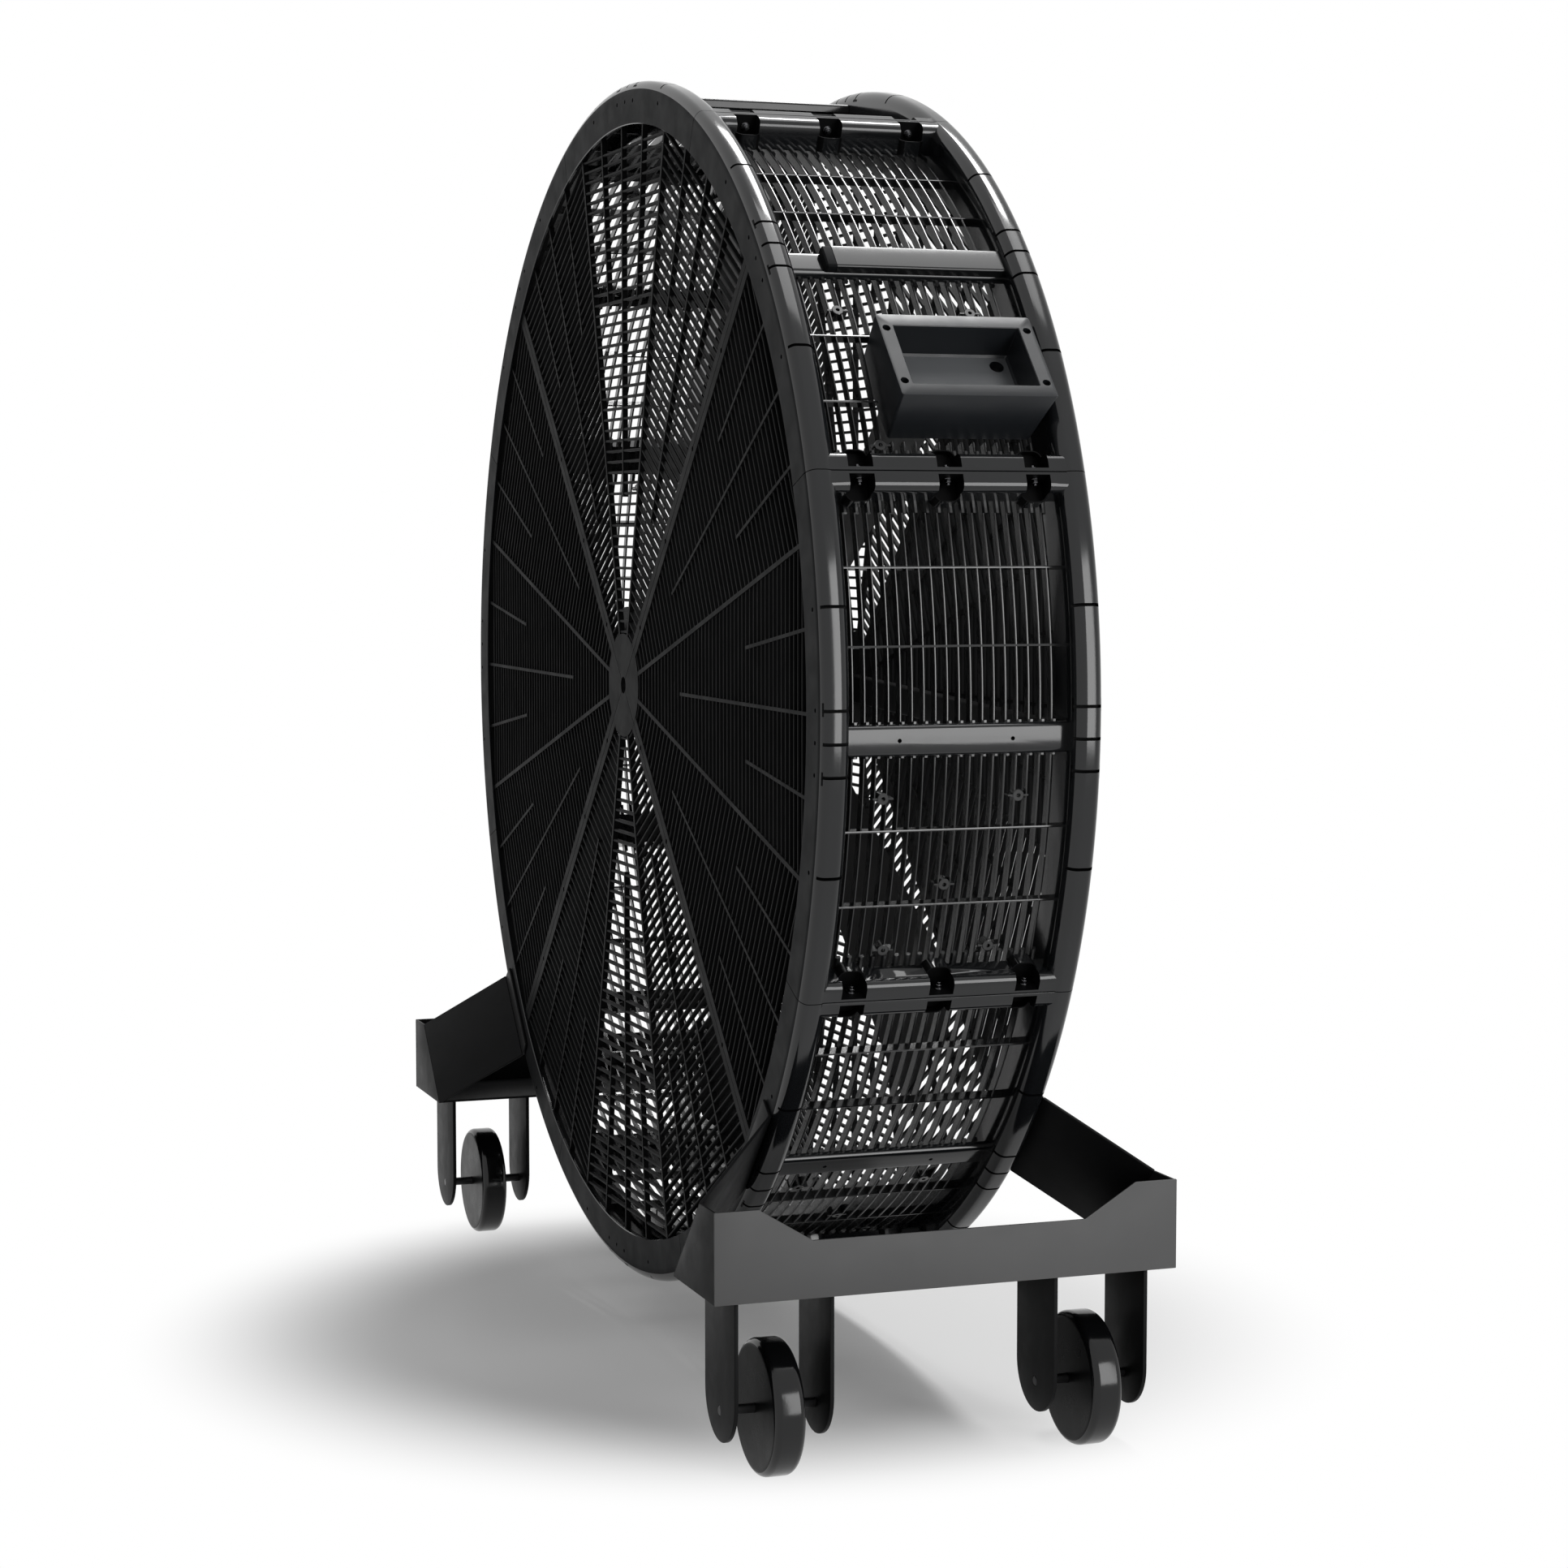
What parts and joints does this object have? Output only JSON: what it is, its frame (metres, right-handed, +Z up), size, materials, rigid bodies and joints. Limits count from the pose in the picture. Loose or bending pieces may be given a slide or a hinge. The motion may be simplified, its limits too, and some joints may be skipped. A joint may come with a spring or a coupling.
{
  "type": "drum fan",
  "caption": "Large wheeled drum fan: segmented round drum, web guards on both faces, side grilles, open control box, and tray-shaped sheet feet on casters.",
  "frame": {"origin": "on the floor, at the middle of the wheels' footprint, straight under the middle of the drum", "axes": "+Z up, drum and rotor axis along Y with the front guard facing -Y, trays and wheels at the +X and -X ends"},
  "size_m": [1.259, 0.4556, 1.3305],
  "materials": {
    "drum_plastic": "moulded, satin to gloss black",
    "grille_paint": "satin black",
    "tray_paint": "dark grey powder coat",
    "fork_paint": "satin black powder coat",
    "box_paint": "dark grey, satin",
    "wheel_rubber": "black, semi-gloss",
    "steel": "blackened",
    "motor_paint": "black, satin",
    "blade_paint": "black, satin"
  },
  "bodies": {
    "drum_and_base": {"drum_segment_1": "drum_plastic", "drum_segment_2": "drum_plastic", "drum_segment_3": "drum_plastic", "drum_segment_4": "drum_plastic", "drum_segment_5": "drum_plastic", "drum_segment_6": "drum_plastic", "drum_segment_7": "drum_plastic", "drum_segment_8": "drum_plastic", "upper_rail": "drum_plastic", "top_rail": "drum_plastic", "side_grille_1": "grille_paint", "side_grille_2": "grille_paint", "side_grille_3": "grille_paint", "side_grille_4": "grille_paint", "side_grille_5": "grille_paint", "side_grille_6": "grille_paint", "side_grille_7": "grille_paint", "side_grille_8": "grille_paint", "front_grille_1": "grille_paint", "front_grille_2": "grille_paint", "front_grille_3": "grille_paint", "front_grille_4": "grille_paint", "rear_grille_1": "grille_paint", "rear_grille_2": "grille_paint", "rear_grille_3": "grille_paint", "rear_grille_4": "grille_paint", "control_box": "box_paint", "motor_bridge": "tray_paint", "fan_motor": "motor_paint", "right_tray": "tray_paint", "left_tray": "tray_paint", "right_front_fork_inner": "fork_paint", "right_front_fork_outer": "fork_paint", "right_front_axle": "steel", "right_rear_fork_inner": "fork_paint", "right_rear_fork_outer": "fork_paint", "right_rear_axle": "steel", "left_front_fork_inner": "fork_paint", "left_front_fork_outer": "fork_paint", "left_front_axle": "steel", "left_rear_fork_inner": "fork_paint", "left_rear_fork_outer": "fork_paint", "left_rear_axle": "steel"},
    "rotor": {"motor_shaft": "steel", "fan_hub": "blade_paint", "fan_blade_1": "blade_paint", "fan_blade_2": "blade_paint", "fan_blade_3": "blade_paint", "fan_blade_4": "blade_paint", "fan_blade_5": "blade_paint"},
    "right_front_wheel_body": {"right_front_wheel": "wheel_rubber"},
    "right_rear_wheel_body": {"right_rear_wheel": "wheel_rubber"},
    "left_front_wheel_body": {"left_front_wheel": "wheel_rubber"},
    "left_rear_wheel_body": {"left_rear_wheel": "wheel_rubber"}
  },
  "joints": [
    {"name": "rotor_spin", "type": "hinge", "parent": "drum_and_base", "child": "rotor", "pos_m": [0, 0, 0.701], "axis": [0, 1, 0], "continuous": true},
    {"name": "right_front_wheel_spin", "type": "hinge", "parent": "drum_and_base", "child": "right_front_wheel_body", "pos_m": [0.544, -0.1568, 0.0635], "axis": [0, 1, 0], "continuous": true},
    {"name": "right_rear_wheel_spin", "type": "hinge", "parent": "drum_and_base", "child": "right_rear_wheel_body", "pos_m": [0.544, 0.1568, 0.0635], "axis": [0, 1, 0], "continuous": true},
    {"name": "left_front_wheel_spin", "type": "hinge", "parent": "drum_and_base", "child": "left_front_wheel_body", "pos_m": [-0.544, -0.1568, 0.0635], "axis": [0, 1, 0], "continuous": true},
    {"name": "left_rear_wheel_spin", "type": "hinge", "parent": "drum_and_base", "child": "left_rear_wheel_body", "pos_m": [-0.544, 0.1568, 0.0635], "axis": [0, 1, 0], "continuous": true}
  ]
}
